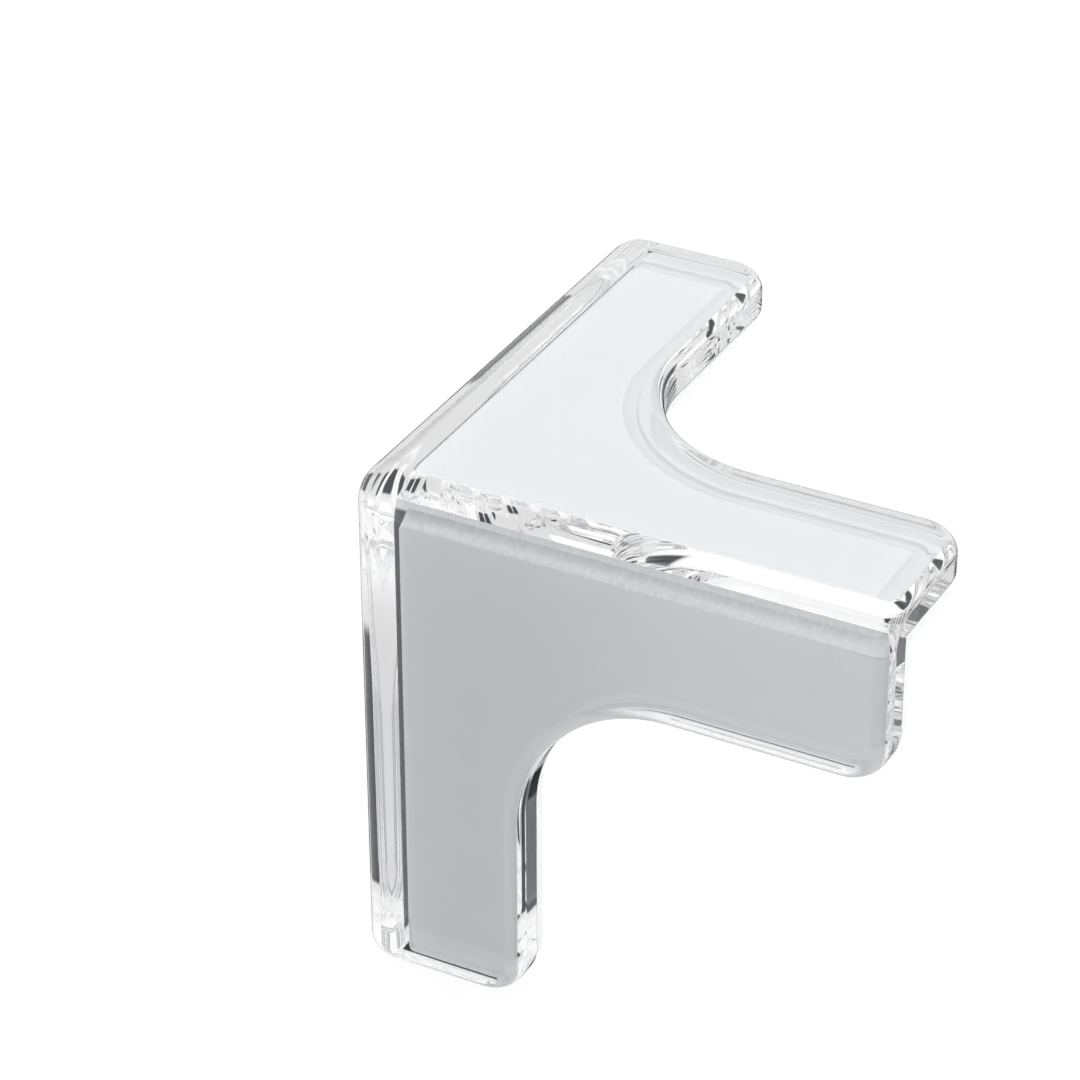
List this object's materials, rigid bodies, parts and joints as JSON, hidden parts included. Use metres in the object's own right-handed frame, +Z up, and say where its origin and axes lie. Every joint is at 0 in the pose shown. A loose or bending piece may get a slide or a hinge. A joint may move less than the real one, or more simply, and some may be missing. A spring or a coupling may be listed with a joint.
{
  "type": "furniture corner protector",
  "caption": "Clear moulded corner guard: L-shaped plates at right angles with rounded edges, and white foam pads that bond it over a furniture corner.",
  "frame": {"origin": "where the tip of the furniture's own corner sits: the three planes that the pads bond to meet there", "axes": "+Z up, out of the furniture's top; +X and +Y along its edges, away from the corner, so the furniture fills x > 0, y > 0, z < 0 and the arms run along +X, +Y and -Z"},
  "size_m": [0.05, 0.05, 0.05],
  "materials": {
    "clear_plastic": "clear, polished",
    "white_foam": "matte closed-cell foam"
  },
  "bodies": {
    "root": {"corner_guard": "clear_plastic", "top_pad": "white_foam", "front_pad": "white_foam", "side_pad": "white_foam"}
  },
  "joints": []
}
